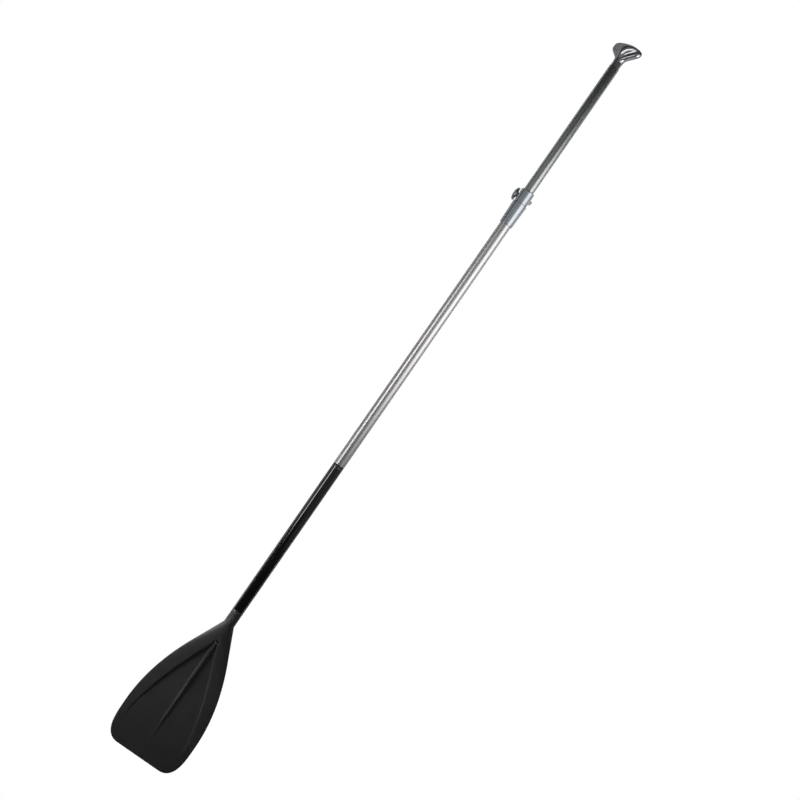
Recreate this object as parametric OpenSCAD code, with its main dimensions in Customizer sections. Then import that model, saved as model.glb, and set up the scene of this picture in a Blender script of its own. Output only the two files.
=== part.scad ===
// Adjustable three-piece stand-up paddle, lying flat on the ground.
// +X runs along the shaft from the blade to the grip, and +Z is up.
// The origin is on the ground, under the middle of the paddle.

/* [Blade] */
// Length of the blade, from its tip edge to the neck
blade_length = 404; // [360:1:430]
// Widest width of the blade
blade_width = 208; // [180:1:220]
// Straight width of the tip edge, between its rounded corners
tip_width = 120; // [90:1:130]
// Length of the round neck above the blade
neck_length = 39; // [30:1:60]
// Thickness of the blade at its widest place
blade_thickness = 6.8; // [5:0.1:9]
// Depth of the leaf-shaped hollow in the blade's upper face
hollow_depth = 2.4; // [1:0.1:3]
// Length of the neck's spigot inside the lower tube
spigot_length = 45; // [30:1:60]

/* [Shaft] */
// Outer diameter of the lower and middle tubes
tube_d = 29; // [28:0.5:30]
// Wall of the three tubes
tube_wall = 1.2; // [1:0.1:1.3]
// Length of the lower tube
lower_length = 424; // [350:1:500]
// Visible length of the middle tube
mid_length = 709; // [600:1:760]
// Visible length of the upper tube, as stored
upper_length = 366; // [300:1:400]
// Length of the upper tube below the top of the collar
upper_insert = 200; // [160:1:240]

/* [Joint between the lower and middle tubes] */
// Length of the ferrule in each tube
ferrule_depth = 45; // [35:1:60]
// Width of the ferrule's flange between the tubes
flange_width = 4.5; // [3:0.5:6]
// Thickness of the sealing ring beside the flange
seal_width = 1.5; // [1:0.5:2]
// Distance from the middle tube's end to the snap button
button_offset = 25; // [20:1:30]
// Diameter of the snap button
button_d = 6.8; // [6:0.1:8]
// Height of the snap button above the tube
button_height = 3; // [2:0.5:4]

/* [Clamp collar] */
// Length of the collar
collar_length = 99; // [90:1:110]
// Diameter of the collar at its lower end
collar_low_d = 33.5; // [33:0.1:35]
// Diameter of the collar just below its clamping band
collar_high_d = 37; // [35:0.1:38]
// Diameter of the clamping band
band_d = 34.2; // [33.5:0.1:36]
// Length of the clamping band
band_length = 37; // [34:1:45]
// Distance from the band's lower edge to the bolt
bolt_offset = 19; // [14:1:21]
// Width of the gap between the two ears
ear_gap = 4; // [3:0.5:5]
// Diameter of the knob
knob_d = 34; // [30:1:36]
// Height of the knob
knob_height = 10; // [9:0.5:14]

/* [Grip] */
// Width of the palm grip across its wings
grip_width = 100; // [90:1:115]
// Depth of the palm grip, front to back
grip_depth = 36; // [32:1:40]
// Height of the palm grip above the upper tube
grip_height = 65; // [60:1:75]
// Diameter of the grip's neck
grip_neck_d = 23.2; // [20:0.1:24]
// Distance that the wing tips sweep back
wing_sweep = 5; // [0:0.5:8]
// Angle of the wings to the blade, about the shaft
grip_turn = 50; // [0:1:80]

/* [Hidden] */
$fn = 96;

// Radii of the tubes and of what runs in them
tube_r = tube_d / 2;
bore_r = tube_r - tube_wall;
slide_gap = 0.3;
upper_r = bore_r - slide_gap;
upper_bore_r = upper_r - tube_wall;
running = 0.05;

// Places along the shaft, from the blade's tip to the grip's crown
joint_width = flange_width + seal_width;
overall_length = blade_length + neck_length + lower_length + joint_width + mid_length
    + collar_length + upper_length + grip_height;
x_tip = -overall_length / 2;
x_neck = x_tip + blade_length;
x_lower = x_neck + neck_length;
x_joint = x_lower + lower_length;
x_mid = x_joint + joint_width;
x_collar = x_mid + mid_length;
x_band = x_collar + collar_length - band_length;
x_collar_top = x_collar + collar_length;
x_upper = x_collar_top - upper_insert;
x_grip = x_collar_top + upper_length;
x_button = x_mid + button_offset;
x_bolt = x_band + bolt_offset;

// Round shapes of the small parts
rivet_r = 2;
rivet_head_r = 3.6;
rivet_head_height = 1.1;
bush_length = 12;
bush_spigot = 16;
plug_length = 30;
bolt_r = 2.95;
bolt_clear_r = 3.3;
nut_across = 10;
nut_height = 6;
nut_recess = 1;
washer_r = 6.2;
washer_t = 1.2;
boss_r = 7;
ear_half = 17;
ear_r = 9;
slit = 1.2;
bolt_drop = upper_r + 8;
knob_gap = 2.8;
y_knob = ear_half + knob_gap;
bolt_head_height = 4;

function mix(a, b, t) = a + (b - a) * t;
function clamp01(t) = min(1, max(0, t));
function smooth(t) = let (c = clamp01(t)) c * c * (3 - 2 * c);

// Grip sections: wings along w, front to back along d, at height g above the upper tube
grip_plug = 40;
flare_start = 14;
widest = 0.77 * grip_height;
grip_fullness = 2.4;

function grip_rise(g) = pow(clamp01((g - flare_start) / (widest - flare_start)), 1.1);
function grip_close(g) = sqrt(max(0, 1 - pow(clamp01((g - widest) / (grip_height - widest)), 3)));
function grip_half_width(g) =
    mix(grip_neck_d / 2, grip_width / 2, smooth(grip_rise(g))) * grip_close(g);
function grip_half_depth(g) =
    mix(grip_neck_d / 2, grip_depth / 2, smooth((g - 20) / (widest - 20))) * grip_close(g);
function grip_power(g) = mix(2, grip_fullness, smooth(grip_rise(g)));
function signed_pow(x, p) = sign(x) * pow(abs(x), p);

grip_sides = 56;
function grip_section(half_w, half_d, power) = [for (i = [0:grip_sides - 1])
    let (a = 360 * i / grip_sides,
        w = half_w * signed_pow(cos(a), 2 / power),
        d = half_d * signed_pow(sin(a), 2 / power) - wing_sweep * pow(2 * w / grip_width, 2))
    [w * cos(grip_turn) + d * sin(grip_turn), d * cos(grip_turn) - w * sin(grip_turn)]];

// The shaft's height above the ground leaves the lower wing just touching it
widest_section = grip_section(grip_width / 2, grip_depth / 2, grip_fullness);
axis_z = -min([for (p = widest_section) p[1]]);

// Blade sections: y across the blade, at a distance d from its tip edge
belly_d = 0.246 * blade_length;
shoulder_d = 0.794 * blade_length;
shoulder_w = 0.2533 * blade_width;
shoulder_slope = 0.45;
nose_d = 0.872 * blade_length;
hollow_end = 0.158 * blade_length;
hollow_w = 0.408 * blade_width;
step_w = 2.5;

function tip_side(d) =
    mix(tip_width / 2, blade_width / 2, pow(1 - pow(1 - d / belly_d, 3.4), 0.42));
function belly_side(d) =
    let (h = shoulder_d - belly_d, t = (d - belly_d) / h, s = smooth(t))
    mix(blade_width / 2, shoulder_w, s) + (t * t - t * t * t) * h * shoulder_slope;
function shoulder_side(d) =
    mix(shoulder_w, tube_r, (d - shoulder_d) / (blade_length - shoulder_d));
function half_width(d) = d >= blade_length ? tube_r
    : d < belly_d ? tip_side(d) : d < shoulder_d ? belly_side(d) : shoulder_side(d);

// Half the thickness on the centre line, rounded off at the tip edge
tip_h = 1.5;
tip_round = 3;
function tip_arc(d) = sqrt(max(0.02, 1 - pow(1 - clamp01(d / tip_round), 2)));
function half_height(d) =
    tip_arc(d) * mix(tip_h, blade_thickness / 2, smooth(d / (0.45 * blade_length)))
    + (tube_r - blade_thickness / 2) * pow(clamp01((d / blade_length - 0.5) / 0.5), 2.2);
function section_power(d) = mix(2.6, 2, smooth((d / blade_length - 0.75) / 0.25));

// Height of the blade's middle, which leans down towards the tip
bend = 0.2;
function lean(t) = (t < bend ? t * t / (2 * bend) : t - bend / 2) / (1 - bend / 2);
tip_z = max([for (d = [0:0.5:20]) half_height(d) - axis_z * (1 - lean(1 - d / blade_length))]);
function middle_z(d) = mix(axis_z, tip_z, lean(max(0, 1 - d / blade_length)));

// Leaf-shaped hollow in the upper face, with a rib down its middle
function leaf(d) = hollow_w * (1 - pow(clamp01((d - hollow_end) / (nose_d - hollow_end)), 1.6));
function rib(d) = mix(2, 4.2, clamp01((d - hollow_end) / (nose_d - hollow_end)));
function depth_at(d) = hollow_depth * smooth((nose_d - d) / 12)
    * smooth((d - hollow_end / 2) / (0.55 * blade_length));
function panel_edge(d) = min(max(leaf(d), rib(d) + 2 * step_w + 1), half_width(d) * 0.82);
function cross_places(d) = let (w = half_width(d), p = panel_edge(d),
        r = min(rib(d), p / 4), s = min(step_w, p / 5))
    concat([0, r * 0.6, r, r + s],
        [for (i = [1:3]) mix(r + s, p - s, i / 4)],
        [p - s, p],
        [for (i = [1:6]) mix(p, w, sin(15 * i))]);
function hollow(d, y) = let (p = panel_edge(d), r = min(rib(d), p / 4), s = min(step_w, p / 5))
    leaf(d) < r ? 0 : depth_at(d) * smooth((p - y) / s) * smooth((y - r) / s);
function skin(d, y) = let (v = min(1, y / half_width(d)))
    half_height(d) * sqrt(max(0, 1 - pow(v, section_power(d))));

function blade_ring(d) = let (ys = cross_places(d), n = len(ys) - 1, z = middle_z(d),
        up = [for (y = ys) z + skin(d, y) - hollow(d, y)], down = [for (y = ys) z - skin(d, y)])
    concat([for (i = [n:-1:0]) [x_tip + d, ys[i], up[i]]],
        [for (i = [1:n]) [x_tip + d, -ys[i], up[i]]],
        [for (i = [n - 1:-1:0]) [x_tip + d, -ys[i], down[i]]],
        [for (i = [1:n - 1]) [x_tip + d, ys[i], down[i]]]);
ring_size = len(blade_ring(blade_length));
function round_ring(x, r) = [for (p = blade_ring(blade_length))
    [x, p[1] * r / tube_r, axis_z + (p[2] - axis_z) * r / tube_r]];

// Closed skin over a stack of rings, each with the same number of points
module loft(rings) {
    n = len(rings[0]);
    last = (len(rings) - 1) * n;
    sides = [for (k = [0:len(rings) - 2]) for (i = [0:n - 1])
        let (a = k * n + i, b = k * n + (i + 1) % n)
        each [[a, b, a + n], [b, b + n, a + n]]];
    ends = [[for (i = [n - 1:-1:0]) i], [for (i = [0:n - 1]) last + i]];
    polyhedron(points = [for (r = rings) each r], faces = concat(sides, ends));
}

// Places a shape that is built along +Z on the shaft's axis, at x
module on_shaft(x) {
    translate([x, 0, axis_z]) rotate([0, 90, 0]) children();
}

module pipe(x, length, r, wall) {
    on_shaft(x) difference() {
        cylinder(r = r, h = length);
        translate([0, 0, -1]) cylinder(r = r - wall, h = length + 2);
    }
}

// Upright pin under the shaft at x, from one height below the axis to another
module below_shaft(x, low, high, r) {
    translate([x, 0, axis_z - low]) cylinder(r = r, h = low - high);
}

grip_rivet_x = x_grip - 18;

module blade() {
    tip_part = 30;
    tip_steps = 9;
    body_steps = 24;
    nose_steps = 12;
    neck_steps = 6;
    nose_low = nose_d - 16;
    nose_high = nose_d + 8;
    places = concat([for (i = [0:tip_steps - 1]) tip_part * pow(i / tip_steps, 2)],
        [for (i = [0:body_steps - 1]) mix(tip_part, nose_low, i / body_steps)],
        [for (i = [0:nose_steps - 1]) mix(nose_low, nose_high, i / nose_steps)],
        [for (i = [0:neck_steps]) mix(nose_high, blade_length, i / neck_steps)]);
    rings = concat([for (d = places) blade_ring(d)],
        [round_ring(x_lower, tube_r), round_ring(x_lower, bore_r - 0.1),
            round_ring(x_lower + spigot_length, bore_r - 0.1)]);
    color([0.13, 0.13, 0.14]) loft(rings);
}

module lower_tube() {
    color([0.09, 0.09, 0.1]) pipe(x_lower, lower_length, tube_r, tube_wall);
}

module foam_plug(x, r) {
    color("lightgray") on_shaft(x) cylinder(r = r - 0.05, h = plug_length);
}

module lower_foam_plug() {
    foam_plug(x_joint - ferrule_depth - plug_length - 5, bore_r);
}

// Hollow plastic sleeve that is bonded in the lower tube and plugs into the middle one
module joint_ferrule() {
    plug_r = bore_r - running;
    ferrule_bore = 10.5;
    end_wall = 3;
    color([0.08, 0.08, 0.08]) difference() {
        union() {
            on_shaft(x_joint - ferrule_depth)
                cylinder(r = plug_r, h = 2 * ferrule_depth + joint_width);
            on_shaft(x_joint) cylinder(r = tube_r - 0.3, h = flange_width);
        }
        on_shaft(x_joint - ferrule_depth - 1)
            cylinder(r = ferrule_bore, h = 2 * ferrule_depth + joint_width - end_wall + 1);
        below_shaft(x_button, tube_r, 5, button_d / 2 + 0.1);
    }
}

module joint_seal() {
    color([0.04, 0.04, 0.04])
        pipe(x_joint + flange_width, seal_width, tube_r - 0.4, tube_r - 0.4 - bore_r);
}

button_foot = 8;
button_foot_r = 4.6;
module snap_button() {
    crown = 1;
    color("gainsboro") {
        below_shaft(x_button, tube_r + button_height - crown, button_foot, button_d / 2);
        translate([x_button, 0, axis_z - tube_r - button_height + crown])
            rotate([180, 0, 0]) cylinder(r1 = button_d / 2, r2 = button_d / 2 - crown, h = crown);
        below_shaft(x_button, button_foot + 1.2, button_foot, button_foot_r);
    }
}

// Bent leaf: one leg lies on the button's foot, the other on the ferrule's far wall
module button_spring() {
    leaf_t = 0.5;
    leaf_w = 6;
    reach = 30;
    top = 9.9;
    back = x_button - reach;
    front = x_button + 5;
    color("silver") translate([0, leaf_w / 2, axis_z]) rotate([90, 0, 0])
        linear_extrude(leaf_w) polygon([
            [front, -button_foot], [x_button - 6, -button_foot], [back, 0],
            [x_button - 6, top], [front, top],
            [front, top - leaf_t], [x_button - 6, top - leaf_t], [back + 1.4, 0],
            [x_button - 6, leaf_t - button_foot], [front, leaf_t - button_foot]]);
}

module mid_tube() {
    tube_in_collar = collar_length - band_length - 3;
    color([0.72, 0.72, 0.72]) difference() {
        pipe(x_mid, mid_length + tube_in_collar, tube_r, tube_wall);
        below_shaft(x_button, tube_r + 1, tube_r - 3, button_d / 2 + 0.15);
    }
}

module collar_body() {
    edge = 1.6;
    sleeve = collar_length - band_length;
    on_shaft(x_collar) rotate_extrude() polygon([
        [0, 0], [collar_low_d / 2 - edge, 0], [collar_low_d / 2, edge],
        [collar_high_d / 2, sleeve], [band_d / 2, sleeve + 0.6],
        [band_d / 2, collar_length - edge], [band_d / 2 - edge, collar_length],
        [0, collar_length]]);
}

// Two ears under the band, as one block before the gap is cut
module ear_block() {
    translate([x_bolt, ear_half, axis_z - bolt_drop]) rotate([90, 0, 0])
        linear_extrude(2 * ear_half) union() {
            circle(r = ear_r);
            translate([-ear_r, 0]) square([2 * ear_r, bolt_drop - 10]);
        }
}

// Turns a shape that is built upright about the shaft, towards the knob's side
module turned(x, angle) {
    translate([x, 0, axis_z]) rotate([-angle, 0, 0]) children();
}

module clamp_collar() {
    slit_end = 46;
    relief_r = 1.5;
    color([0.25, 0.27, 0.3]) difference() {
        union() {
            collar_body();
            ear_block();
        }
        on_shaft(x_collar - 1) cylinder(r = tube_r, h = collar_length - band_length - 2);
        on_shaft(x_collar) cylinder(r = upper_r + running, h = collar_length + 1);
        // Slit that frees one side of the band from the sleeve, with a round hole at its end
        turned(x_band, 0) translate([0, -30, -40]) cube([slit, 30, 70]);
        turned(x_band, slit_end) translate([0, -30, 0]) cube([slit, 30, 30]);
        turned(x_band + slit / 2, slit_end) translate([0, 0, 10]) cylinder(r = relief_r, h = 20);
        // Gap between the ears
        translate([x_band, -ear_gap / 2, axis_z - 40]) cube([band_length + 1, ear_gap, 35]);
        // Bolt hole and the recess that holds the nut
        on_bolt(-ear_half - 1) cylinder(r = bolt_clear_r, h = 2 * ear_half + 2);
        on_bolt(-ear_half - 1) hexagon(nut_across + 0.2, nut_recess + 1);
    }
}

// Places a shape that is built along +Z on the bolt's axis, at y
module on_bolt(y) {
    translate([x_bolt, y, axis_z - bolt_drop]) rotate([-90, 0, 0]) children();
}

module hexagon(across, height) {
    cylinder(r = across / sqrt(3), h = height, $fn = 6);
}

module clamp_nut() {
    color("silver") difference() {
        on_bolt(-ear_half + nut_recess - nut_height) hexagon(nut_across, nut_height);
        on_bolt(-ear_half - nut_height) cylinder(r = bolt_r + running, h = nut_height + 2);
    }
}

module clamp_washer() {
    color("silver") on_bolt(ear_half) difference() {
        cylinder(r = washer_r, h = washer_t);
        translate([0, 0, -1]) cylinder(r = bolt_r + running, h = washer_t + 2);
    }
}

head_y = y_knob + 2;
module clamp_bolt() {
    end_y = -ear_half - nut_height;
    color("silver") {
        on_bolt(end_y) cylinder(r = bolt_r, h = head_y - end_y);
        on_bolt(head_y) hexagon(nut_across, bolt_head_height);
    }
}

// Domed knob moulded round the bolt's head, with a boss that bears on the washer
module clamp_knob() {
    rim = 3;
    steps = 10;
    r = knob_d / 2;
    dome = [for (i = [0:steps - 1]) let (a = 90 * i / steps)
        [r * cos(a), rim + (knob_height - rim) * sin(a)]];
    color([0.12, 0.12, 0.13]) difference() {
        union() {
            on_bolt(y_knob) rotate_extrude()
                polygon(concat([[0, 0], [r - 1, 0], [r, 1]], dome, [[0, knob_height]]));
            on_bolt(ear_half + washer_t) cylinder(r = boss_r, h = knob_gap - washer_t + 1);
        }
        on_bolt(ear_half) cylinder(r = bolt_r, h = knob_gap + 3);
        on_bolt(head_y) hexagon(nut_across, bolt_head_height);
    }
}

// Running bush at the lower end of the upper tube
module glide_bush() {
    color("ivory") union() {
        on_shaft(x_upper - bush_length) cylinder(r = bore_r - running, h = bush_length - 0.2);
        on_shaft(x_upper - 1) cylinder(r = upper_bore_r - running, h = bush_spigot);
    }
}

module upper_tube() {
    color([0.42, 0.44, 0.43]) difference() {
        pipe(x_upper, x_grip - x_upper, upper_r, tube_wall);
        below_shaft(grip_rivet_x, upper_r + 1, upper_r - 3, rivet_r);
    }
}

module upper_foam_plug() {
    foam_plug(x_upper + 20, upper_bore_r);
}

module palm_grip() {
    steps = 26;
    plug_r = upper_bore_r - 0.05;
    neck_r = grip_neck_d / 2;
    places = [for (i = [1:steps]) mix(flare_start, grip_height - 0.15, 1 - pow(1 - i / steps, 1.6))];
    neck = [for (p = [[-grip_plug, plug_r], [0, plug_r], [0, neck_r], [flare_start, neck_r]])
        grip_ring(p[0], [for (i = [0:grip_sides - 1]) let (a = 360 * i / grip_sides - grip_turn)
            p[1] * [cos(a), sin(a)]])];
    wings = [for (g = places)
        grip_ring(g, grip_section(grip_half_width(g), grip_half_depth(g), grip_power(g)))];
    color([0.15, 0.15, 0.16]) loft(concat(neck, wings));
}
function grip_ring(g, section) = [for (p = section) [x_grip + g, p[0], axis_z + p[1]]];

// Blind rivet through the underside of the upper tube into the grip's plug
module grip_rivet() {
    color("silver") union() {
        below_shaft(grip_rivet_x, upper_r + rivet_head_height, upper_r, rivet_head_r);
        below_shaft(grip_rivet_x, upper_r + 0.5, upper_r - tube_wall - 3, rivet_r);
    }
}

blade();
lower_tube();
lower_foam_plug();
joint_ferrule();
joint_seal();
snap_button();
button_spring();
mid_tube();
clamp_collar();
clamp_nut();
clamp_washer();
clamp_bolt();
clamp_knob();
glide_bush();
upper_tube();
upper_foam_plug();
palm_grip();
grip_rivet();
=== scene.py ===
"""Adjustable stand-up paddle: finished pieces, materials and studio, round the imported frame."""
from math import copysign, cos, dist, pi, radians, sin, sqrt

import bpy
from bpy.props import FloatProperty, FloatVectorProperty, PointerProperty
from mathutils import Matrix, Vector


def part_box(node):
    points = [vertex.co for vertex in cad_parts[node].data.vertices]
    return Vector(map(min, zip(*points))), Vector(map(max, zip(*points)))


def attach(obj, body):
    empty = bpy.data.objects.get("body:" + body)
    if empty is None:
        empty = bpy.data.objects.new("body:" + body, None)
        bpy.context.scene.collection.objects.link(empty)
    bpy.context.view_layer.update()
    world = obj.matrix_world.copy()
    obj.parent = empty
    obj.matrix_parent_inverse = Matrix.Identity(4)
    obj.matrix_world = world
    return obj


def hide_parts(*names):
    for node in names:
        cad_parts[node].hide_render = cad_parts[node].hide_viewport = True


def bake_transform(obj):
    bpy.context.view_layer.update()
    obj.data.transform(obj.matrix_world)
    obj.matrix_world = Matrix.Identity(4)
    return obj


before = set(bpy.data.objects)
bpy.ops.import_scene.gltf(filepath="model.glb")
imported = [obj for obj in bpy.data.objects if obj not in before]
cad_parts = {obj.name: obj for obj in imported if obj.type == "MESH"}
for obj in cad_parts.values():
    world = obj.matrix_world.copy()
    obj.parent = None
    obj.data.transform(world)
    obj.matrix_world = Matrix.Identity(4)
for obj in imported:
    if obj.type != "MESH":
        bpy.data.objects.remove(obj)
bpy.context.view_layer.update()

bl_info = {
    "name": "Adjustable Stand-Up Paddle",
    "version": (1, 0, 0),
    "blender": (4, 5, 0),
    "location": "View3D > Sidebar > Paddle",
    "description": "Builds the finished pieces, materials and studio of an adjustable paddle",
    "category": "Add Mesh",
}

MM = 0.001


def span(node):
    """Start, end and radius of a round CAD node that lies along the shaft."""
    low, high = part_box(node)
    return low.x, high.x, (high.y - low.y) / 2


def centre_of(node):
    """Middle of a CAD node's box, on each axis."""
    return [(low + high) / 2 for low, high in zip(*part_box(node))]


AXIS_Z = centre_of("upper_tube")[2]
X_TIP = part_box("blade")[0].x
X_LOWER, X_JOINT, TUBE_R = span("lower_tube")
X_MID, X_MID_END = span("mid_tube")[:2]
X_UPPER, X_GRIP, UPPER_R = span("upper_tube")
X_COLLAR, X_COLLAR_TOP = (corner.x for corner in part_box("clamp_collar"))
X_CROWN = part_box("palm_grip")[1].x
X_BUTTON = centre_of("snap_button")[0]
X_BOLT, _, BOLT_Z = centre_of("clamp_nut")
X_RIVET = centre_of("grip_rivet")[0]
BLADE_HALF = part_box("blade")[1].y
SHAFT = Vector((1, 0, 0))
ACROSS = Vector((0, 1, 0))
DOWN = Vector((0, 0, -1))


# Sizes and colours that a user would change

def length(label, about, default):
    return FloatProperty(name=label, description=about, default=default * MM, min=0.0,
                         unit="LENGTH", subtype="DISTANCE")


def colour(label, about, default):
    return FloatVectorProperty(name=label, description=about, default=default, size=3,
                               min=0.0, max=1.0, subtype="COLOR")


def share(label, about, default):
    return FloatProperty(name=label, description=about, default=default, min=0.0, max=1.0,
                         subtype="FACTOR")


class BladeSettings(bpy.types.PropertyGroup):
    neck_length: length("Neck Length", "Length of the round neck above the blade", 39)
    tip_width: length("Tip Width", "Straight width of the tip edge", 120)
    thickness: length("Thickness", "Thickness of the blade at its widest place", 6.8)
    hollow_depth: length("Hollow Depth", "Depth of the leaf-shaped hollow", 3.3)
    rib_width: length("Rib Width", "Width of the rib's crown at its upper end", 6)
    spigot_length: length("Spigot Length", "Length of the spigot inside the lower tube", 45)
    plastic: colour("Plastic", "Colour of the blade", (0.027, 0.026, 0.028))
    gloss: share("Roughness", "Mean roughness of the blade", 0.46)


class TubeSettings(bpy.types.PropertyGroup):
    wall: length("Wall", "Wall of the three tubes", 1.2)
    rim: length("Rim", "Rounding of the tubes' rims", 0.3)
    black: colour("Black Tube", "Colour of the lower tube", (0.120, 0.118, 0.120))
    silver: colour("Silver Tube", "Colour of the middle tube", (0.47, 0.46, 0.46))
    grey: colour("Grey Tube", "Colour of the upper tube", (0.36, 0.38, 0.37))


class JointSettings(bpy.types.PropertyGroup):
    flange_gap: length("Flange Setback", "Distance of the flange below the tubes' surface", 0.3)
    ferrule_wall: length("Ferrule Wall", "Wall of the ferrule", 2.75)
    rubber: colour("Ferrule", "Colour of the ferrule and its seal", (0.012, 0.012, 0.013))
    steel: colour("Steel", "Colour of the plated steel pieces", (0.62, 0.61, 0.59))


class CollarSettings(bpy.types.PropertyGroup):
    low_diameter: length("Lower Diameter", "Diameter of the collar at its lower end", 33.5)
    high_diameter: length("Upper Diameter", "Diameter just below the clamping band", 37)
    band_diameter: length("Band Diameter", "Diameter of the clamping band", 34.2)
    band_length: length("Band Length", "Length of the clamping band", 37)
    slit: length("Slit", "Width of the slit under the band", 1.2)
    ear_gap: length("Ear Gap", "Gap between the two ears", 4)
    plastic: colour("Plastic", "Colour of the collar", (0.29, 0.31, 0.335))
    knob: colour("Knob", "Colour of the knob", (0.25, 0.26, 0.265))


class GripSettings(bpy.types.PropertyGroup):
    width: length("Width", "Width of the palm grip across its wings", 100)
    depth: length("Depth", "Depth of the palm grip, front to back", 36)
    neck_diameter: length("Neck Diameter", "Diameter of the grip's neck", 23.2)
    wing_sweep: length("Wing Sweep", "Distance that the wing tips sweep back", 5)
    turned: FloatProperty(name="Turn", description="Angle of the wings to the blade",
                          default=radians(50), subtype="ANGLE", unit="ROTATION")
    plastic: colour("Plastic", "Colour of the palm grip", (0.27, 0.27, 0.285))


class StudioSettings(bpy.types.PropertyGroup):
    camera_height: length("Camera Height", "Height of the camera above the shaft", 3400)
    floor: colour("Floor", "Colour of the floor", (0.82, 0.82, 0.82))
    backdrop: FloatProperty(name="Backdrop", description="Brightness of the white behind the object",
                            default=1.0, min=0.0)


# Modelling by hand

def deselect():
    bpy.ops.object.select_all(action="DESELECT")


def activate(piece):
    deselect()
    piece.select_set(True)
    bpy.context.view_layer.objects.active = piece


def apply_place(piece):
    activate(piece)
    bpy.ops.object.transform_apply(location=True, rotation=True, scale=True)


def edit(piece, kind="VERT"):
    activate(piece)
    bpy.ops.object.mode_set(mode="EDIT")
    bpy.ops.mesh.select_mode(type=kind)


def leave():
    bpy.ops.object.mode_set(mode="OBJECT")


def pick(piece, test):
    """Selects the vertices whose place passes the test, and nothing else."""
    bpy.ops.mesh.select_mode(type="VERT")
    bpy.ops.mesh.select_all(action="DESELECT")
    leave()
    for vertex in piece.data.vertices:
        vertex.select = test(vertex.co)
    bpy.ops.object.mode_set(mode="EDIT")


def close_up(piece, gap=0.001 * MM):
    """Merges what coincides and turns every face outwards."""
    edit(piece)
    bpy.ops.mesh.select_all(action="SELECT")
    bpy.ops.mesh.remove_doubles(threshold=gap)
    bpy.ops.mesh.normals_make_consistent(inside=False)
    leave()


def modify(piece, kind, **values):
    """Adds a modifier with the given values and applies it."""
    activate(piece)
    modifier = piece.modifiers.new(kind.title(), kind)
    for name, value in values.items():
        setattr(modifier, name, value)
    bpy.ops.object.modifier_apply(modifier=modifier.name)


def round_edges(piece, radius, segments=3, angle=32):
    modify(piece, "BEVEL", width=radius, segments=segments, limit_method="ANGLE",
           angle_limit=radians(angle), use_clamp_overlap=True)


def smooth(piece, angle=34):
    activate(piece)
    bpy.ops.object.shade_smooth_by_angle(angle=radians(angle))


def carve(piece, cutter, operation="DIFFERENCE"):
    modify(piece, "BOOLEAN", object=cutter, operation=operation, solver="EXACT")
    bpy.data.objects.remove(cutter)


def fresh(name):
    """Names the primitive that was just added and applies its place."""
    piece = bpy.context.object
    piece.name = name
    apply_place(piece)
    return piece


def stand(piece, origin, direction):
    """Puts a piece that was made about +Z at the origin on another axis."""
    piece.rotation_mode = "QUATERNION"
    piece.rotation_quaternion = Vector((0, 0, 1)).rotation_difference(direction)
    piece.location = origin
    apply_place(piece)


def guarded(profile):
    """Profile with a point just inside both ends of each long wall, so that it shades straight."""
    long_wall = 5 * MM
    guard = 0.8 * MM
    points = [profile[0]]
    for near, far in zip(profile, profile[1:]):
        run = dist(near, far)
        if run > long_wall:
            inset = guard / run
            points += [tuple(mix(a, b, t) for a, b in zip(near, far)) for t in (inset, 1 - inset)]
        points.append(far)
    return points


def turn(name, profile, sides=96, ring=False):
    """Turned piece about +Z: a circle, extruded and scaled to each (height, radius) of its profile.

    A ring's profile ends where it starts. Any other piece is closed at both ends."""
    profile = guarded(profile)
    deselect()
    height, radius = profile[0]
    bpy.ops.mesh.primitive_circle_add(vertices=sides, radius=radius, location=(0, 0, height))
    piece = fresh(name)
    edit(piece, "EDGE")
    bpy.ops.mesh.select_all(action="SELECT")
    if not ring:
        bpy.ops.mesh.edge_face_add()
    for next_height, next_radius in profile[1:]:
        rise = (0, 0, next_height - height)
        bpy.ops.mesh.extrude_region_move(TRANSFORM_OT_translate={"value": rise})
        scale = next_radius / radius
        bpy.ops.transform.resize(value=(scale, scale, 1), center_override=(0, 0, next_height))
        height, radius = next_height, next_radius
    leave()
    close_up(piece)
    return piece


def wrap(name, rings):
    """Closed skin: a grid whose rows lie on the rings, sewn along its seam and filled at its ends."""
    deselect()
    sides = len(rings[0])
    bpy.ops.mesh.primitive_grid_add(x_subdivisions=sides, y_subdivisions=len(rings) - 1, size=1)
    piece = fresh(name)
    points = [point for ring in rings for point in ring + ring[:1]]
    for vertex, point in zip(piece.data.vertices, points):
        vertex.co = point
    close_up(piece)
    edit(piece)
    bpy.ops.mesh.select_all(action="SELECT")
    bpy.ops.mesh.fill_holes(sides=0)
    bpy.ops.mesh.normals_make_consistent(inside=False)
    leave()
    return piece


def drill_out(piece, origin, direction, radius, start, end, sides=48):
    """Drills a round hole, from start to end along a direction from the origin."""
    drill = turn("drill", [(start, radius), (end, radius)], sides=sides)
    stand(drill, origin, direction)
    carve(piece, drill)


def arc(centre, reach, start, end, steps):
    """Points (height, radius) on an oval of a profile, from one angle to another, in degrees."""
    angles = [radians(mix(start, end, step / steps)) for step in range(steps + 1)]
    return [(centre[0] + reach[0] * sin(a), centre[1] + reach[1] * cos(a)) for a in angles]


def mix(a, b, t):
    return a + (b - a) * t


def clamp01(t):
    return min(1.0, max(0.0, t))


def ease(t):
    t = clamp01(t)
    return t * t * (3 - 2 * t)


# Shader groups

def group(name, inputs, outputs):
    """Empty shader group with number sockets, the values it is given and the ones it puts out."""
    tree = bpy.data.node_groups.new(name, "ShaderNodeTree")
    for way, labels in (("INPUT", inputs), ("OUTPUT", outputs)):
        for label in labels:
            tree.interface.new_socket(label, in_out=way, socket_type="NodeSocketFloat")
    given = tree.nodes.new("NodeGroupInput").outputs
    return tree, given, tree.nodes.new("NodeGroupOutput").inputs


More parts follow.
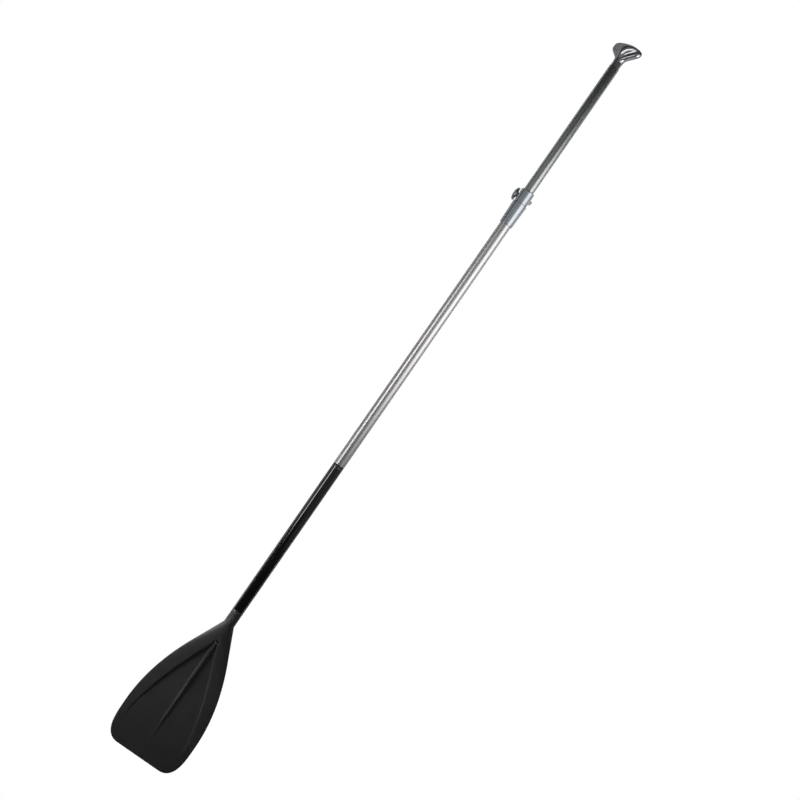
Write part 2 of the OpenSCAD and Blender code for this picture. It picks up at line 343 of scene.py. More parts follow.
def node(tree, kind, links=None, **values):
    """New node whose sockets are linked to the given outputs or set to the given numbers."""
    made = tree.nodes.new(kind)
    for name, value in values.items():
        setattr(made, name, value)
    for socket, source in (links or {}).items():
        if isinstance(source, bpy.types.NodeSocket):
            tree.links.new(source, made.inputs[socket])
        else:
            made.inputs[socket].default_value = source
    return made


def math_node(tree, operation, *terms):
    made = node(tree, "ShaderNodeMath", dict(enumerate(terms)), operation=operation)
    return made.outputs[0]


def spread_about(tree, value, centre, amount):
    """centre + amount x (value - 0.5)"""
    offset = math_node(tree, "SUBTRACT", value, 0.5)
    return math_node(tree, "MULTIPLY_ADD", offset, amount, centre)


def stretched_noise(tree, scales, detail=3.0, roughness=0.6):
    place = node(tree, "ShaderNodeTexCoord").outputs["Object"]
    size = node(tree, "ShaderNodeCombineXYZ", dict(enumerate(scales))).outputs[0]
    points = node(tree, "ShaderNodeMapping", {"Vector": place, "Scale": size}).outputs[0]
    noise = node(tree, "ShaderNodeTexNoise",
                 {"Vector": points, "Scale": 1.0, "Detail": detail, "Roughness": roughness})
    return noise.outputs["Fac"]


def drawn_lines_group():
    """Fine lines along the shaft that drawing leaves on a tube, with slow bands of tone."""
    tree, given, out = group("Drawn Lines", ["Along", "Across", "Polish", "Spread", "Relief"],
                             ["Roughness", "Height", "Tone"])
    lines = stretched_noise(tree, (given["Along"], given["Across"], given["Across"]))
    bands = stretched_noise(tree, (3.0, 90.0, 90.0), detail=2.0)
    rough = spread_about(tree, lines, given["Polish"], given["Spread"])
    tree.links.new(rough, out["Roughness"])
    tree.links.new(math_node(tree, "MULTIPLY", lines, given["Relief"]), out["Height"])
    tree.links.new(spread_about(tree, bands, 0.5, 0.8), out["Tone"])
    return tree


def moulded_skin_group():
    """Fine grain of a moulded face over slow unevenness in its gloss."""
    tree, given, out = group("Moulded Skin", ["Grain", "Polish", "Spread", "Relief"],
                             ["Roughness", "Height", "Tone"])
    grain = stretched_noise(tree, (given["Grain"],) * 3, detail=2.0)
    cloud = stretched_noise(tree, (26.0, 26.0, 26.0), detail=4.0)
    both = math_node(tree, "MULTIPLY_ADD", grain, 0.4, math_node(tree, "MULTIPLY", cloud, 0.6))
    rough = spread_about(tree, both, given["Polish"], given["Spread"])
    tree.links.new(rough, out["Roughness"])
    tree.links.new(math_node(tree, "MULTIPLY", grain, given["Relief"]), out["Height"])
    tree.links.new(cloud, out["Tone"])
    return tree


def handling_marks_group():
    """Sparse hairline scratches in two directions."""
    tree, given, out = group("Handling Marks", ["Length", "Width", "Amount"], ["Mask"])
    long_way = (given["Length"], given["Width"], given["Width"])
    cross_way = (given["Width"], given["Length"], given["Width"])
    rarity = 0.76
    sharpness = 14.0
    masks = []
    for scales in (long_way, cross_way):
        noise = stretched_noise(tree, scales, detail=1.0)
        more = math_node(tree, "MULTIPLY", given["Amount"], 0.1)
        edge = math_node(tree, "SUBTRACT", rarity, more)
        above = math_node(tree, "SUBTRACT", noise, edge)
        sharp = math_node(tree, "MULTIPLY", above, sharpness)
        masks.append(node(tree, "ShaderNodeClamp", {"Value": sharp}).outputs[0])
    tree.links.new(math_node(tree, "MAXIMUM", *masks), out["Mask"])
    return tree


def worn_edges_group():
    """Mask of the corners that handling rubs, broken up so that it is uneven."""
    tree, given, out = group("Worn Edges", ["Start", "Amount"], ["Mask"])
    point = node(tree, "ShaderNodeNewGeometry").outputs["Pointiness"]
    above = math_node(tree, "SUBTRACT", point, given["Start"])
    rise = math_node(tree, "MULTIPLY", above, 9.0)
    patches = stretched_noise(tree, (140.0, 140.0, 140.0))
    broken = math_node(tree, "MULTIPLY", rise, patches)
    scaled = math_node(tree, "MULTIPLY", broken, given["Amount"])
    tree.links.new(node(tree, "ShaderNodeClamp", {"Value": scaled}).outputs[0], out["Mask"])
    return tree


GROUPS = {"Drawn Lines": drawn_lines_group, "Moulded Skin": moulded_skin_group,
          "Handling Marks": handling_marks_group, "Worn Edges": worn_edges_group}


def placed_group(tree, label, **values):
    """Places one of the shared groups in a material, building it the first time."""
    made = tree.nodes.new("ShaderNodeGroup")
    made.node_tree = bpy.data.node_groups.get(label) or GROUPS[label]()
    for name, value in values.items():
        made.inputs[name.title()].default_value = value
    return made


def toned(tree, base, factor, change):
    """Base colour that goes from itself to a share of itself as the factor rises."""
    other = [value * change for value in base]
    ramp = node(tree, "ShaderNodeMix", {"Factor": factor}, data_type="RGBA")
    ramp.inputs[6].default_value = (*base, 1)
    ramp.inputs[7].default_value = (*other, 1)
    return ramp.outputs[2]


def material(name, **sockets):
    """New material, with its Principled shader and constants on the shader's own sockets."""
    made = bpy.data.materials.new(name)
    made.use_nodes = True
    shader = made.node_tree.nodes["Principled BSDF"]
    for label, value in sockets.items():
        shader.inputs[label.title()].default_value = value
    return made, made.node_tree, shader


def bump(tree, shader, height, distance):
    made = node(tree, "ShaderNodeBump", {"Height": height, "Strength": 1.0, "Distance": distance})
    tree.links.new(made.outputs[0], shader.inputs["Normal"])


def surface(tree, shader, finish, relief, **marks):
    """Gloss and relief of a finish, duller where it has hairline marks."""
    marked = placed_group(tree, "Handling Marks", **marks).outputs["Mask"]
    dulling = 0.12
    rough = math_node(tree, "MULTIPLY_ADD", marked, dulling, finish.outputs["Roughness"])
    tree.links.new(rough, shader.inputs["Roughness"])
    bump(tree, shader, finish.outputs["Height"], relief)


def metal(name, base, polish, spread=0.12, relief=0.5, tone=0.9, across=1400.0):
    """Drawn or plated metal."""
    made, tree, shader = material(name, metallic=1.0)
    lines = placed_group(tree, "Drawn Lines", along=5.0, across=across, polish=polish,
                         spread=spread, relief=relief)
    tree.links.new(toned(tree, base, lines.outputs["Tone"], tone), shader.inputs["Base Color"])
    surface(tree, shader, lines, 0.02 * MM, length=9.0, width=900.0, amount=0.35)
    return made


def plastic(name, base, polish, grain=1300.0, spread=0.12, relief=0.5, tone=1.25, wear=0.3,
            worn=(0.10, 0.10, 0.10), pearl=0.0):
    """Moulded plastic with rubbed corners. Pearl is the share of metal flake in its colour."""
    made, tree, shader = material(name, metallic=pearl)
    skin = placed_group(tree, "Moulded Skin", grain=grain, polish=polish, spread=spread,
                        relief=relief)
    edges = placed_group(tree, "Worn Edges", start=0.54, amount=wear)
    clean = toned(tree, base, skin.outputs["Tone"], tone)
    rubbed = node(tree, "ShaderNodeMix", {"Factor": edges.outputs["Mask"]}, data_type="RGBA")
    tree.links.new(clean, rubbed.inputs[6])
    rubbed.inputs[7].default_value = (*worn, 1)
    tree.links.new(rubbed.outputs[2], shader.inputs["Base Color"])
    surface(tree, shader, skin, 0.03 * MM, length=14.0, width=700.0, amount=0.3)
    return made


def foam_material():
    """Closed-cell foam: pale cells with darker walls."""
    made, tree, shader = material("Closed Cell Foam", roughness=0.9)
    place = node(tree, "ShaderNodeTexCoord").outputs["Object"]
    cells = node(tree, "ShaderNodeTexVoronoi", {"Vector": place, "Scale": 900.0})
    shade = toned(tree, (0.72, 0.72, 0.70), cells.outputs["Distance"], 0.7)
    tree.links.new(shade, shader.inputs["Base Color"])
    bump(tree, shader, cells.outputs["Distance"], 0.3 * MM)
    return made


def coat_piece(piece, finish):
    piece.data.materials.clear()
    piece.data.materials.append(finish)


def hand_over(piece, body, node_name, finish):
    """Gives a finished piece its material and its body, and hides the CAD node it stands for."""
    coat_piece(piece, finish)
    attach(piece, body)
    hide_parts(node_name)


# Blade

class BladeShape:
    """Outline, thickness and hollow of the blade, as functions of the distance from its tip edge."""

    def __init__(self, settings):
        self.length = X_LOWER - settings.neck_length - X_TIP
        self.tip_half = settings.tip_width / 2
        self.thickness = settings.thickness
        self.hollow_depth = settings.hollow_depth
        self.rib_half = settings.rib_width / 2
        self.belly = 0.246 * self.length
        self.shoulder = 0.794 * self.length
        self.shoulder_half = 0.5066 * BLADE_HALF
        self.shoulder_slope = 0.45
        self.nose = 0.886 * self.length
        self.rib_start = self.nose - 6 * MM
        self.hollow_end = 0.158 * self.length
        self.hollow_half = 0.84 * BLADE_HALF
        self.tip_z = max(self.half_height(d) - AXIS_Z * (1 - self.lean(1 - d / self.length))
                         for d in (step * 0.5 * MM for step in range(41)))

    def half_width(self, d):
        if d >= self.length:
            return TUBE_R
        if d < self.belly:
            corner, side = 3.4, 0.42
            bulge = (1 - (1 - d / self.belly) ** corner) ** side
            return mix(self.tip_half, BLADE_HALF, bulge)
        if d < self.shoulder:
            reach = self.shoulder - self.belly
            t = (d - self.belly) / reach
            return (mix(BLADE_HALF, self.shoulder_half, ease(t))
                    + (t * t - t * t * t) * reach * self.shoulder_slope)
        return mix(self.shoulder_half, TUBE_R, (d - self.shoulder) / (self.length - self.shoulder))

    def half_height(self, d):
        tip_round = 3 * MM
        tip_half_thickness = 1.5 * MM
        full_by = 0.45 * self.length
        arc_part = sqrt(max(0.02, 1 - (1 - clamp01(d / tip_round)) ** 2))
        flat = arc_part * mix(tip_half_thickness, self.thickness / 2, ease(d / full_by))
        swell = clamp01((d / self.length - 0.5) / 0.5) ** 2.2
        return flat + (TUBE_R - self.thickness / 2) * swell

    def lean(self, t):
        """Share of the tip's drop at a share of the way down: a bend, then straight."""
        bend = 0.2
        return (t * t / (2 * bend) if t < bend else t - bend / 2) / (1 - bend / 2)

    def middle_z(self, d):
        return mix(AXIS_Z, self.tip_z, self.lean(max(0.0, 1 - d / self.length)))

    def skin(self, d, y):
        power = mix(2.6, 2.0, ease((d / self.length - 0.75) / 0.25))
        return self.half_height(d) * sqrt(max(0.0, 1 - (y / self.half_width(d)) ** power))

    def edges(self, d):
        """Half-widths of the rib's crown and foot and of the hollow's floor and brim."""
        rib_round = 5 * MM
        flank = 3.2 * MM
        rim_share = 0.82
        along = clamp01((d - self.hollow_end) / (self.nose - self.hollow_end))
        start_round = sqrt(max(0.0, 1 - (1 - clamp01((self.rib_start - d) / rib_round)) ** 2))
        crown = self.rib_half * mix(0.3, 1.0, along) * mix(0.15, 1.0, start_round)
        leaf = self.hollow_half * (1 - along ** 1.6)
        brim = min(max(leaf, flank + crown), self.half_width(d) * rim_share)
        foot = crown + min(flank, (brim - crown) * 0.4)
        floor = brim - min(mix(3.5, 7, along) * MM, (brim - crown) * 0.5)
        return crown, foot, floor, brim

    def hollow(self, d, y):
        nose_slope = 7 * MM
        rib_slope = 4 * MM
        tip_slope = 0.55 * self.length
        crown, foot, floor, brim = self.edges(d)
        depth = (self.hollow_depth * ease((self.nose - d) / nose_slope)
                 * ease((d - self.hollow_end / 2) / tip_slope))
        rib = ease((self.rib_start - d) / rib_slope)
        beside = mix(1, ease((y - crown) / (foot - crown)), rib)
        return depth * ease((brim - y) / (brim - floor)) * beside

    def across(self, d):
        """Distances from the centre line at which a section has its points."""
        crown, foot, floor, brim = self.edges(d)
        stops = [(0.0, crown, 3), (crown, foot, 6), (foot, floor, 10), (floor, brim, 8)]
        places = [mix(a, b, i / n) for a, b, n in stops for i in range(n)]
        rim_steps = 13
        half = self.half_width(d)
        return places + [mix(brim, half, sin(pi / 2 * i / rim_steps))
                         for i in range(rim_steps + 1)]

    def section(self, d):
        z = self.middle_z(d)
        places = self.across(d)
        upper = [(y, z + self.skin(d, y) - self.hollow(d, y)) for y in places]
        lower = [(y, z - self.skin(d, y)) for y in places]
        loop = upper[::-1] + [(-y, h) for y, h in upper[1:]]
        loop += [(-y, h) for y, h in lower[-2::-1]] + lower[1:-1]
        return [(X_TIP + d, y, h) for y, h in loop]

    def stations(self):
        """Distances of the sections, closest at the tip edge and at the hollow's nose."""
        tip = 32 * MM
        low = self.nose - 30 * MM
        high = self.nose + 4 * MM
        places = [tip * (i / 16) ** 2 for i in range(16)]
        places += [mix(tip, low, i / 60) for i in range(60)]
        places += [mix(low, high, i / 44) for i in range(44)]
        return places + [mix(high, self.length, i / 14) for i in range(15)]


class PADDLE_OT_blade(bpy.types.Operator):
    """Models the blade, its hollowed face, rib, neck and spigot"""
    bl_idname = "paddle.blade"
    bl_label = "Blade"

    def execute(self, context):
        settings = context.scene.paddle_blade
        shape = BladeShape(settings)
        rings = [shape.section(d) for d in shape.stations()]
        round_end = shape.section(shape.length)
        spigot = (TUBE_R - tube_wall(context) - 0.1 * MM) / TUBE_R

        def round_ring(x, scale):
            return [(x, y * scale, AXIS_Z + (z - AXIS_Z) * scale) for _, y, z in round_end]

        edge = 0.35 * MM
        end = X_LOWER + settings.spigot_length
        rings += [round_ring(mix(X_TIP + shape.length, X_LOWER, i / 6), 1) for i in range(1, 6)]
        rings += [round_ring(X_LOWER - edge, 1), round_ring(X_LOWER - edge * 0.3, 1 - 0.006),
                  round_ring(X_LOWER, 1 - 0.02), round_ring(X_LOWER, spigot),
                  round_ring(end - 1 * MM, spigot), round_ring(end, spigot - 0.07)]
        blade = wrap("blade_shell", rings)
        smooth(blade, 40)
        finish = plastic("Moulded Blade Plastic", settings.plastic, settings.gloss, grain=900.0,
                         spread=0.16, relief=0.6, wear=0.25, worn=(0.05, 0.05, 0.05))
        hand_over(blade, "shaft", "blade", finish)
        return {"FINISHED"}


# Tubes

def tube_wall(context):
    return context.scene.paddle_tubes.wall


def open_tube(name, start, end, radius, wall, rim):
    """Drawn tube: a cylinder's open wall with a short loop at each rim, thickened inwards."""
    deselect()
    loop = 3 * MM
    bpy.ops.mesh.primitive_cylinder_add(vertices=160, radius=radius, depth=end - start - 2 * loop,
                                        end_fill_type="NOTHING", rotation=(0, pi / 2, 0),
                                        location=((start + end) / 2, 0, AXIS_Z))
    tube = fresh(name)
    for side in (-1, 1):
        edit(tube)
        pick(tube, lambda co: (co.x - (start + end) / 2) * side > 0)
        bpy.ops.mesh.select_mode(type="EDGE")
        bpy.ops.mesh.extrude_region_move(TRANSFORM_OT_translate={"value": (side * loop, 0, 0)})
        leave()
    close_up(tube)
    modify(tube, "SOLIDIFY", thickness=wall, offset=-1.0)
    round_edges(tube, rim)
    return tube


def cut_across(piece, places):
    """Adds a loop of edges round a piece at each place along the shaft."""
    edit(piece)
    for place in places:
        bpy.ops.mesh.select_all(action="SELECT")
        bpy.ops.mesh.bisect(plane_co=(place, 0, 0), plane_no=(1, 0, 0))
    leave()


class PADDLE_OT_tubes(bpy.types.Operator):
    """Models the three drawn tubes of the shaft"""
    bl_idname = "paddle.tubes"
    bl_label = "Tubes"

    def execute(self, context):
        settings = context.scene.paddle_tubes
        sizes = (settings.wall, settings.rim)
        lower = open_tube("lower_tube_shell", X_LOWER, X_JOINT, TUBE_R, *sizes)
        middle = open_tube("mid_tube_shell", X_MID, X_MID_END, TUBE_R, *sizes)
        upper = open_tube("upper_tube_shell", X_UPPER, X_GRIP, UPPER_R, *sizes)
        beside = 7 * MM
        for tube, place, hole in ((middle, X_BUTTON, 3.55 * MM), (upper, X_RIVET, 2 * MM)):
            cut_across(tube, (place - beside, place + beside))
            drill_out(tube, (place, 0, AXIS_Z - 9 * MM), DOWN, radius=hole, start=0, end=8 * MM)
        for tube in (lower, middle, upper):
            smooth(tube, 25)
        black = metal("Black Anodised Tube", settings.black, polish=0.13, spread=0.06, relief=0.1,
                      tone=0.85)
        silver = metal("Silver Drawn Tube", settings.silver, polish=0.34, spread=0.10, relief=0.15)
        grey = metal("Grey Anodised Tube", settings.grey, polish=0.25, spread=0.08, relief=0.15)
        hand_over(lower, "shaft", "lower_tube", black)
        hand_over(middle, "shaft", "mid_tube", silver)
        hand_over(upper, "upper", "upper_tube", grey)
        return {"FINISHED"}


# Joint between the lower and middle tubes

class PADDLE_OT_joint(bpy.types.Operator):
    """Models the ferrule, its seal and the snap button"""
    bl_idname = "paddle.joint"
    bl_label = "Joint"

    def execute(self, context):
        settings = context.scene.paddle_joint
        start, end, _ = span("joint_ferrule")
        seal_start, _, seal_r = span("joint_seal")
        plug = TUBE_R - tube_wall(context) - 0.05 * MM
        flange = TUBE_R - settings.flange_gap
        bore = plug - settings.ferrule_wall
        origin = Vector((start, 0, AXIS_Z))
        reach = end - start
        inner = reach - 3 * MM
        # The turned ring leaves a small hole in the end wall, which is closed in the CAD solid.
        end_hole = 1 * MM
        low, high = X_JOINT - start, seal_start - start
        ferrule = turn("ferrule_sleeve", [
            (0, bore), (0, plug), (low, plug), (low, flange), (high, flange), (high, plug),
            (reach, plug), (reach, end_hole), (inner, end_hole), (inner, bore), (0, bore)],
            sides=128, ring=True)
        round_edges(ferrule, 0.4 * MM)
        stand(ferrule, origin, SHAFT)
        drill_out(ferrule, (X_BUTTON, 0, AXIS_Z - 5 * MM), DOWN, radius=3.5 * MM, start=0, end=12 * MM)
        smooth(ferrule)
        width = X_MID - seal_start
        half = width / 2
        seat = TUBE_R - 1.2 * MM
        lip = arc((half, seal_r - half), (half, half), -80, 80, 8)
        seal = turn("seal_ring", [(0, seat), *lip, (width, seat), (0, seat)], sides=128, ring=True)
        stand(seal, (seal_start, 0, AXIS_Z), SHAFT)
        smooth(seal, 50)
        button_low, button_high = (corner.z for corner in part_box("snap_button"))
        half = 3.4 * MM
        foot = 4.6 * MM
        tall = button_high - button_low
        crown = 1.6 * MM
        button = turn("button_pin", [
            (0, foot - 0.3 * MM), (0.3 * MM, foot), (0.9 * MM, foot), (1.2 * MM, foot - 0.3 * MM),
            (1.2 * MM, half), (tall - crown, half),
            *arc((tall - crown, 0), (crown, 0.98 * half), 15, 75, 4), (tall, 0.1 * half)], sides=64)
        stand(button, (X_BUTTON, 0, button_high), DOWN)
        smooth(button)
        rubber = plastic("Ferrule Plastic", settings.rubber, polish=0.35, wear=0.1)
        seal_rubber = plastic("Seal Rubber", settings.rubber, polish=0.6, grain=2600.0, wear=0.0)
        steel = metal("Plated Steel", settings.steel, polish=0.28, spread=0.2, across=700.0, tone=0.85)
        hand_over(ferrule, "shaft", "joint_ferrule", rubber)
        hand_over(seal, "shaft", "joint_seal", seal_rubber)
        hand_over(button, "button", "snap_button", steel)
        return {"FINISHED"}


# Clamp collar and its fasteners

class PADDLE_OT_collar(bpy.types.Operator):
    """Models the collar with its split band, slit, relief hole and two ears"""
    bl_idname = "paddle.collar"
    bl_label = "Collar"

    def execute(self, context):
        settings = context.scene.paddle_collar
        length_all = X_COLLAR_TOP - X_COLLAR
        sleeve = length_all - settings.band_length
        low_r = settings.low_diameter / 2
        high_r = settings.high_diameter / 2
        band_r = settings.band_diameter / 2
        edge = 1.6 * MM
        collar = turn("collar_clamp", [
            (0, low_r - edge - 0.2 * MM), (0.1 * MM, low_r - edge), (edge, low_r - 0.15 * MM),
            (edge + 0.5 * MM, low_r), (sleeve - 0.5 * MM, high_r), (sleeve, high_r - 0.3 * MM),
            (sleeve + 0.3 * MM, band_r + 0.1 * MM), (sleeve + 0.8 * MM, band_r),
            (length_all - edge - 0.5 * MM, band_r), (length_all - edge, band_r - 0.15 * MM),
            (length_all - 0.3 * MM, band_r - edge + 0.15 * MM), (length_all, band_r - edge - 0.2 * MM)],
            sides=144)
        stand(collar, (X_COLLAR, 0, AXIS_Z), SHAFT)
        self.ears(collar)
        bore = UPPER_R + 0.05 * MM
        reamer = turn("reamer", [
            (-1 * MM, TUBE_R), (X_MID_END - X_COLLAR, TUBE_R), (X_MID_END - X_COLLAR, bore),
            (length_all - 0.6 * MM, bore), (length_all + 0.4 * MM, bore + 1 * MM)], sides=144)
        stand(reamer, (X_COLLAR, 0, AXIS_Z), SHAFT)
        carve(collar, reamer)
        self.slit(collar, X_COLLAR + sleeve, settings.slit)
        gap = self.block((settings.band_length + 2 * MM, settings.ear_gap, 35 * MM),
                         (X_COLLAR + sleeve + settings.band_length / 2 + 1 * MM, 0,
                          AXIS_Z - 22.5 * MM))
        carve(collar, gap)
        drill_out(collar, (X_BOLT, 0, BOLT_Z), ACROSS, radius=3.3 * MM, start=-20 * MM, end=20 * MM)
        carve(collar, hexagon("recess", 10.2 * MM, -18 * MM, -16 * MM))
        smooth(collar, 30)
        finish = plastic("Glossy Collar Plastic", settings.plastic, polish=0.18, grain=1600.0,
                         spread=0.08, relief=0.04, wear=0.4, worn=(0.55, 0.57, 0.6), tone=1.15,
                         pearl=0.8)
        hand_over(collar, "shaft", "clamp_collar", finish)
        return {"FINISHED"}

    def ears(self, collar):
        """Joins the two ears to the band, as one block before the gap is cut."""
        ear_r = 9 * MM
        ear_half = 17 * MM
        top = AXIS_Z - 10 * MM
        deselect()
        bpy.ops.mesh.primitive_cylinder_add(vertices=72, radius=ear_r, depth=2 * ear_half,
                                            location=(X_BOLT, 0, BOLT_Z),
                                            rotation=(pi / 2, 0, 0))
        ears = fresh("ears")
        for vertex in ears.data.vertices:
            if vertex.co.z > BOLT_Z + 0.2 * MM:
                vertex.co.z = top
                vertex.co.x = X_BOLT + copysign(ear_r, vertex.co.x - X_BOLT)
        close_up(ears, 0.01 * MM)
        round_edges(ears, 0.7 * MM, angle=50)
        carve(collar, ears, "UNION")

    def block(self, size, middle, tilt=0.0):
        deselect()
        bpy.ops.mesh.primitive_cube_add(size=1, location=middle, rotation=(tilt, 0, 0))
        block = bpy.context.object
        block.scale = size
        apply_place(block)
        return block

    def slit(self, collar, start, width):
        """Slit from the ears' gap over the far side, and the round hole at its end."""
        end_angle = radians(46)
        reach = 30 * MM
        middle = start + width / 2
        carve(collar, self.block((width, reach, 70 * MM), (middle, -reach / 2, AXIS_Z - 5 * MM)))
        y = -reach / 2 * cos(end_angle) + reach / 2 * sin(end_angle)
        z = reach / 2 * sin(end_angle) + reach / 2 * cos(end_angle)
        carve(collar, self.block((width, reach, reach), (middle, y, AXIS_Z + z), -end_angle))
        outwards = Vector((0, sin(end_angle), cos(end_angle)))
        drill_out(collar, (middle, 0, AXIS_Z), outwards, radius=1.5 * MM, start=10 * MM, end=30 * MM,
                  sides=40)


def hexagon(name, across, start, end):
    """Six-sided bar on the bolt's axis."""
    deselect()
    bpy.ops.mesh.primitive_cylinder_add(vertices=6, radius=across / sqrt(3), depth=end - start,
                                        location=(X_BOLT, (start + end) / 2, BOLT_Z),
                                        rotation=(pi / 2, pi / 6, 0))
    return fresh(name)


class PADDLE_OT_fasteners(bpy.types.Operator):
    """Models the nut, the washer, the bolt and the knob that tighten the collar"""
    bl_idname = "paddle.fasteners"
    bl_label = "Fasteners"

    def execute(self, context):
        settings = context.scene.paddle_collar
        steel = metal("Zinc Plated Fasteners", context.scene.paddle_joint.steel, polish=0.25,
                      spread=0.2, across=800.0, tone=0.85)
        hand_over(self.nut(), "shaft", "clamp_nut", steel)
        hand_over(self.washer(), "washer", "clamp_washer", steel)
        hand_over(self.bolt(), "knob", "clamp_bolt", steel)
        finish = plastic("Glossy Knob Plastic", settings.knob, polish=0.14, grain=1500.0, spread=0.08,
                         relief=0.1, wear=0.3, worn=(0.4, 0.4, 0.4), tone=1.15, pearl=0.8)
        hand_over(self.knob(), "knob", "clamp_knob", finish)
        return {"FINISHED"}

    def on_bolt(self, piece):
        stand(piece, (X_BOLT, 0, BOLT_Z), ACROSS)
        return piece

    def nut(self):
        start, end = (corner.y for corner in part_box("clamp_nut"))
        nut = hexagon("hex_nut", 10 * MM, start, end)
        flat = 5 * MM
        corner = 6 * MM
        chamfer = turn("chamfer", [
            (start - 0.01 * MM, flat - 0.1 * MM), (start + 0.5 * MM, corner),
            (end - 0.5 * MM, corner), (end + 0.01 * MM, flat - 0.1 * MM)])
        carve(nut, self.on_bolt(chamfer), "INTERSECT")
        drill = turn("drill", [
            (start - 1 * MM, 4 * MM), (start + 0.5 * MM, 3 * MM), (end - 0.5 * MM, 3 * MM),
            (end + 1 * MM, 4 * MM)], sides=64)
        carve(nut, self.on_bolt(drill))
        smooth(nut, 25)
        return nut

    def washer(self):
        start, end = (corner.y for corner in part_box("clamp_washer"))
        hole, rim = 3 * MM, 6.2 * MM
        washer = turn("flat_washer", [(start, hole), (start, rim), (end, rim), (end, hole),
                                      (start, hole)], ring=True)
        round_edges(washer, 0.2 * MM)
        smooth(self.on_bolt(washer))
        return washer

    def bolt(self):
        start, end = (corner.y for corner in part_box("clamp_bolt"))
        head = 4 * MM
        shank = 2.95 * MM
        pitch = 1 * MM
        root = shank - 0.5 * MM
        profile = [(start, root - 0.3 * MM)]
        for turn_index in range(24):
            base = start + 0.4 * MM + turn_index * pitch
            profile += [(base, root), (base + 0.4 * pitch, shank), (base + 0.52 * pitch, shank)]
        profile += [(start + 25 * MM, shank), (end - head, shank), (end - head, 4.95 * MM),
                    (end - 0.2 * MM, 4.95 * MM), (end, 4.7 * MM)]
        bolt = turn("carriage_bolt", profile, sides=48)
        smooth(self.on_bolt(bolt), 25)
        return bolt

    def knob(self):
        low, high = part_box("clamp_knob")
        radius = (high.x - low.x) / 2
        boss = 7 * MM
        base = low.y + 1.6 * MM
        rim = base + 3 * MM
        rise = high.y - rim
        rings = 14
        dome = [(rim + rise * sin(a), radius * cos(a))
                for a in (pi / 2 * i / rings for i in range(rings))]
        knob = turn("domed_knob", [
            (low.y, 3 * MM), (low.y, boss - 0.3 * MM), (low.y + 0.3 * MM, boss), (base, boss),
            (base, radius - 1.3 * MM), (base + 0.3 * MM, radius - 0.5 * MM),
            (base + 1 * MM, radius - 0.05 * MM), *dome, (high.y, 0.4 * MM)], sides=128)
        self.on_bolt(knob)
        smooth(knob, 32)
        return knob


# Palm grip

class GripShape:
    """Sections of the palm grip at a height above the upper tube."""

    def __init__(self, settings):
        self.height = X_CROWN - X_GRIP
        self.neck = settings.neck_diameter / 2
        self.half_w = settings.width / 2
        self.half_d = settings.depth / 2
        self.sweep = settings.wing_sweep
        self.turned = settings.turned
        self.flare = 14 * MM
        self.widest = 0.77 * self.height
        self.web = 8 * MM
        self.sides = 232

    def rise(self, g):
        return clamp01((g - self.flare) / (self.widest - self.flare)) ** 1.1

    def close(self, g):
        over = clamp01((g - self.widest) / (self.height - self.widest))
        return sqrt(max(0.0, 1 - over ** 3))

    def half_width(self, g):
        return mix(self.neck, self.half_w, ease(self.rise(g))) * self.close(g)

    def half_depth(self, g):
        start = 20 * MM
        return mix(self.neck, self.half_d, ease((g - start) / (self.widest - start))) * self.close(g)

    def crease(self, g):
        """Half-width of the round spine, which spreads into the bar across the top."""
        start = 26 * MM
        reach = 32 * MM
        spread = clamp01((g - start) / reach) ** 1.6
        return mix(min(self.neck, self.half_width(g)), self.half_width(g), spread)

    def depth(self, g, w):
        """Half-depth at w: the round spine, or the thin web beside it where that is thicker."""
        power = mix(2, 2.4, ease(self.rise(g)))
        across = min(1.0, abs(w) / self.crease(g))
        spine = self.half_depth(g) * (1 - across ** power) ** (1 / power)
        half = self.half_width(g)
        web = min(self.web, half)
        rim = max(0.0, abs(w) - (half - web))
        web_depth = sqrt(max(0.0, web ** 2 - rim ** 2)) * min(1.0, self.half_depth(g) / web)
        fillet = 6 * MM
        near = max(fillet - abs(spine - web_depth), 0.0) / fillet
        inside = 1 - (abs(w) / half) ** 8
        return max(spine, web_depth) + near * near * fillet / 4 * inside

    def section(self, g):
        half = self.half_width(g)
        loop = []
        for i in range(self.sides):
            a = 2 * pi * i / self.sides
            w = half * cos(a)
            d = copysign(self.depth(g, w) if i % (self.sides // 2) else 0.0, sin(a))
            d -= self.sweep * (w / self.half_w) ** 2
            y = w * cos(self.turned) + d * sin(self.turned)
            z = d * cos(self.turned) - w * sin(self.turned)
            loop.append((X_GRIP + g, y, AXIS_Z + z))
        return loop


